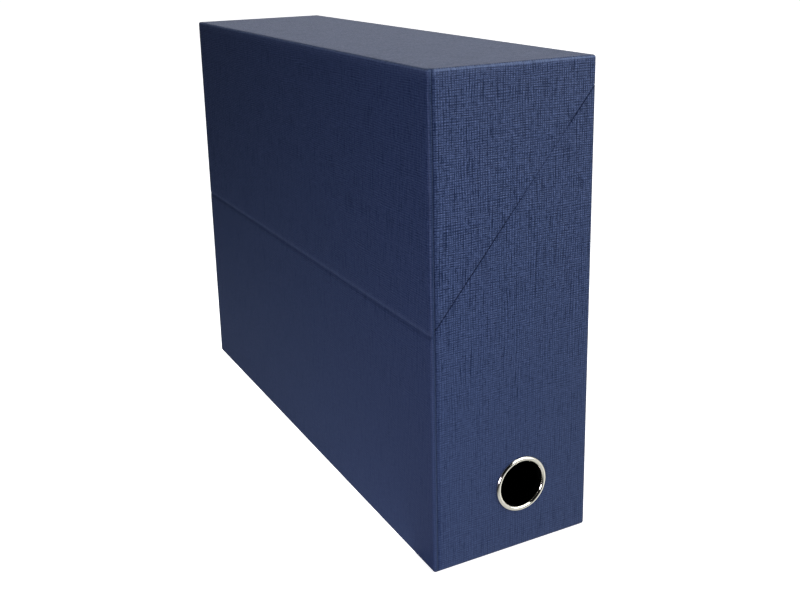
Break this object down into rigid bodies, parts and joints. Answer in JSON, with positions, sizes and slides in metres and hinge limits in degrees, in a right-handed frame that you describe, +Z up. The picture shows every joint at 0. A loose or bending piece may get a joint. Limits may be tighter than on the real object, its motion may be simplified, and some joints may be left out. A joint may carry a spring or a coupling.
{
  "type": "transfer file box",
  "caption": "Upright board box for papers, covered in linen-embossed paper, with a hinged upper part that meets the lower part on a slanting seam and a metal finger ring low on the narrow end.",
  "frame": {"origin": "centre of the underside, on the surface that the box stands on", "axes": "+Z up; -Y is the narrow spine with the finger ring; -X is the big face that carries the hinge crease; +X is the far big face"},
  "size_m": [0.094, 0.3414, 0.255],
  "materials": {
    "linen_paper": "linen-embossed, dull satin",
    "grey_board": "raw grey board",
    "lining_paper": "smooth matt",
    "neck_board": "black-faced thin board",
    "book_cloth": "fine woven, sized",
    "nickel": "polished nickel plate"
  },
  "bodies": {
    "base": {"base_bottom_board": "grey_board", "base_left_board": "grey_board", "base_right_board": "grey_board", "base_spine_board": "grey_board", "base_tail_board": "grey_board", "base_left_cover_paper": "linen_paper", "base_side_cover_paper": "linen_paper", "base_bottom_paper": "linen_paper", "base_lining_paper": "lining_paper", "spine_lining_paper": "lining_paper", "tail_lining_paper": "lining_paper", "spine_neck_strip": "neck_board", "tail_neck_strip": "neck_board", "finger_ring": "nickel", "finger_ring_washer": "nickel", "hinge_tape_base_leaf": "book_cloth"},
    "lid": {"lid_left_board": "grey_board", "lid_top_board": "grey_board", "lid_lip_board": "grey_board", "lid_spine_gusset_board": "grey_board", "lid_tail_gusset_board": "grey_board", "lid_cover_paper": "linen_paper", "lid_side_cover_paper": "linen_paper", "lid_lining_paper": "lining_paper", "lid_spine_gusset_lining": "lining_paper", "lid_tail_gusset_lining": "lining_paper", "hinge_tape_lid_leaf": "book_cloth"}
  },
  "joints": [
    {"name": "lid_hinge", "type": "hinge", "parent": "base", "child": "lid", "pos_m": [-0.0472, 0, 0.1275], "axis": [0, -1, 0], "range_deg": [0, 178]}
  ]
}
